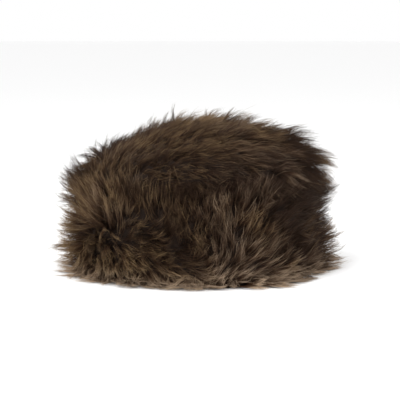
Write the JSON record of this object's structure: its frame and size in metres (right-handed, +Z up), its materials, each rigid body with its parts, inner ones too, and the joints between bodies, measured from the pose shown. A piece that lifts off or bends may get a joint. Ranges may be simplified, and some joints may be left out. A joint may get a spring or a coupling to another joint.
{
  "type": "fur hat",
  "caption": "Soft round hat in long brown fur: a straight side band and a domed crown of the same fur, worn on the head.",
  "frame": {"origin": "on the surface that the hat stands on, under the middle of its box", "axes": "+Z up through the crown, -Y the side that faces the viewer, +X the viewer's right, where the crown's fur is combed to"},
  "size_m": [0.271, 0.2638, 0.1454],
  "materials": {
    "band_fur": "long soft fur, near black at the roots, olive brown along the hair, pale tan tips, low gloss",
    "crown_fur": "long soft fur as on the band, combed over to one side, with tan tips and a low gloss"
  },
  "bodies": {
    "root": {"side_band": "band_fur", "crown": "crown_fur"}
  },
  "joints": []
}
